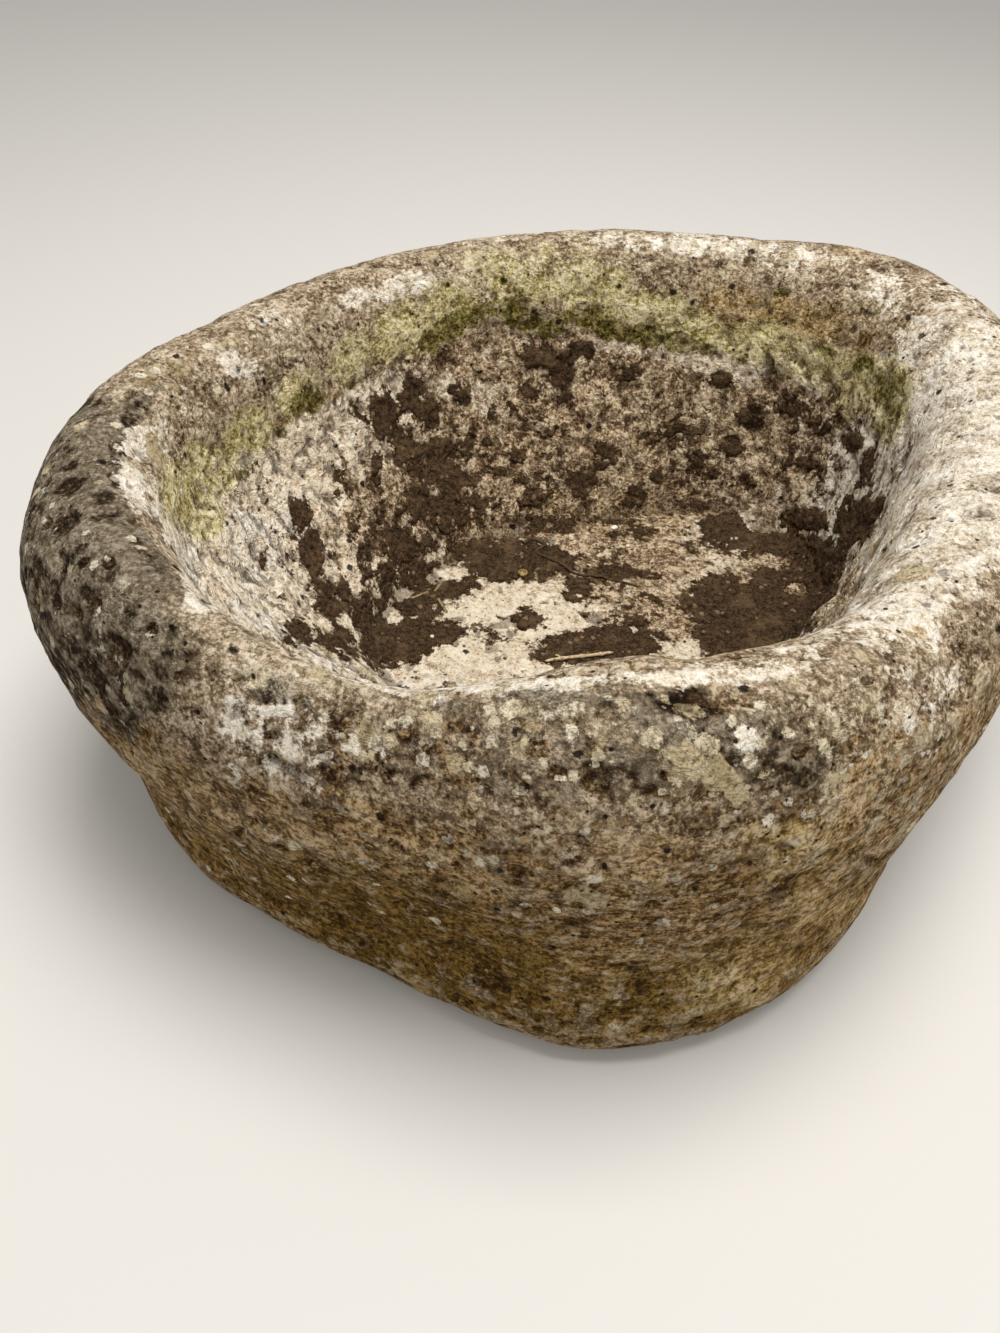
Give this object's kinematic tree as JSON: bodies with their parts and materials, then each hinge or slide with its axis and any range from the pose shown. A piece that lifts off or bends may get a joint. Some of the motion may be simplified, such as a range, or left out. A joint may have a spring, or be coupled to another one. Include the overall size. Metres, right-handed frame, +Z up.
{
  "type": "stone garden trough",
  "caption": "Hand-carved stone garden trough with a thick rolled rim, a bellied outside over a smaller foot and a dished basin, for standing plants in.",
  "frame": {"origin": "on the ground, in the flat of the foot, under the middle of the basin", "axes": "+Z up; -Y towards the worn front of the rim, as seen in the picture; +X to the right of a viewer in front"},
  "size_m": [0.5771, 0.5199, 0.2307],
  "materials": {
    "weathered_stone": "rough, pitted, with lichen and algae",
    "dried_soil": "matte, crumbly",
    "pale_twig": "dry, bleached",
    "dark_root": "dry, fibrous",
    "dry_straw": "dry",
    "dry_husk": "dry, papery",
    "white_stone": "chalky"
  },
  "bodies": {
    "root": {"stone_trough": "weathered_stone", "soil_crust_floor": "dried_soil", "soil_crust_left_wall": "dried_soil", "soil_crust_back_left_corner": "dried_soil", "soil_crust_back_wall": "dried_soil", "soil_crust_right_corner": "dried_soil", "twig": "pale_twig", "root": "dark_root", "straw_bits": "dry_straw", "seed_husk": "dry_husk", "white_stone_chip": "white_stone", "grit_crumbs": "white_stone"}
  },
  "joints": []
}
